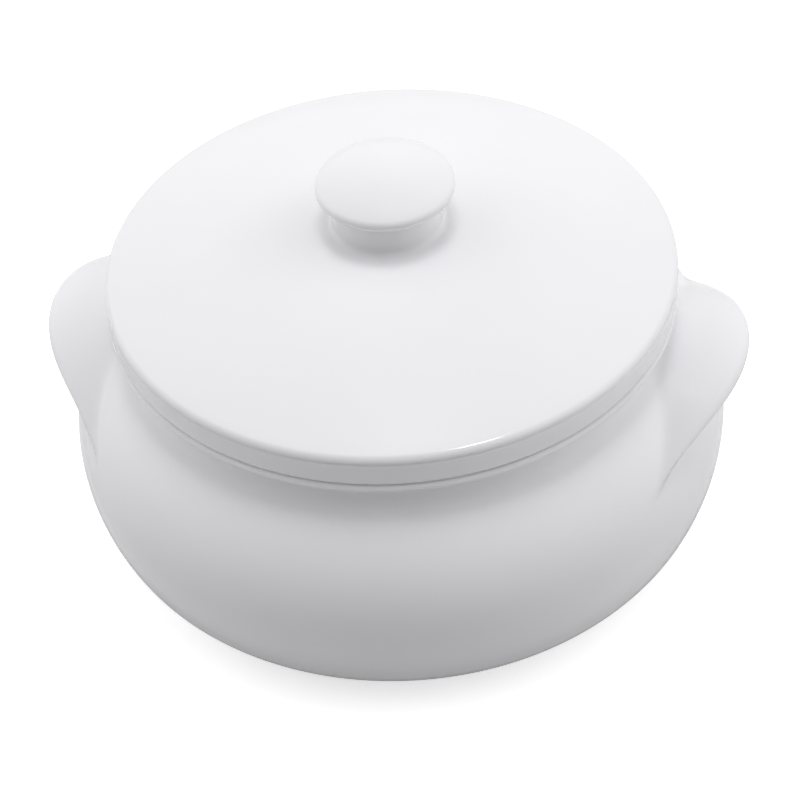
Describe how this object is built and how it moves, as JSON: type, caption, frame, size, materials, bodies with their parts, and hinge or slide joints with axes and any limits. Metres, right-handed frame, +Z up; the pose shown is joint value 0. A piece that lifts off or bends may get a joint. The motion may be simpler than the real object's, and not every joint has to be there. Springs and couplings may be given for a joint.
{
  "type": "lidded ceramic bowl",
  "caption": "Round-bellied glazed porcelain bowl on a foot ring, with ear handles and a lift-off domed lid that has a button knob, for serving hot food.",
  "frame": {"origin": "centre of the foot ring's underside, on the surface that the bowl stands on", "axes": "+Z up the bowl's axis, +X through the right ear, +Y to the back"},
  "size_m": [0.156, 0.1448, 0.096],
  "materials": {
    "glaze": "glossy clear glaze over white porcelain",
    "biscuit": "unglazed, fine and dry"
  },
  "bodies": {
    "bowl": {"bowl_body": "glaze", "foot_ring": "biscuit", "left_ear": "glaze", "right_ear": "glaze"},
    "lid": {"lid_cover": "glaze", "locating_ring": "glaze", "lid_knob": "glaze"}
  },
  "joints": [
    {"name": "lid_lift", "type": "slide", "parent": "bowl", "child": "lid", "axis": [0, 0, 1], "range_m": [0, 0.12]}
  ]
}
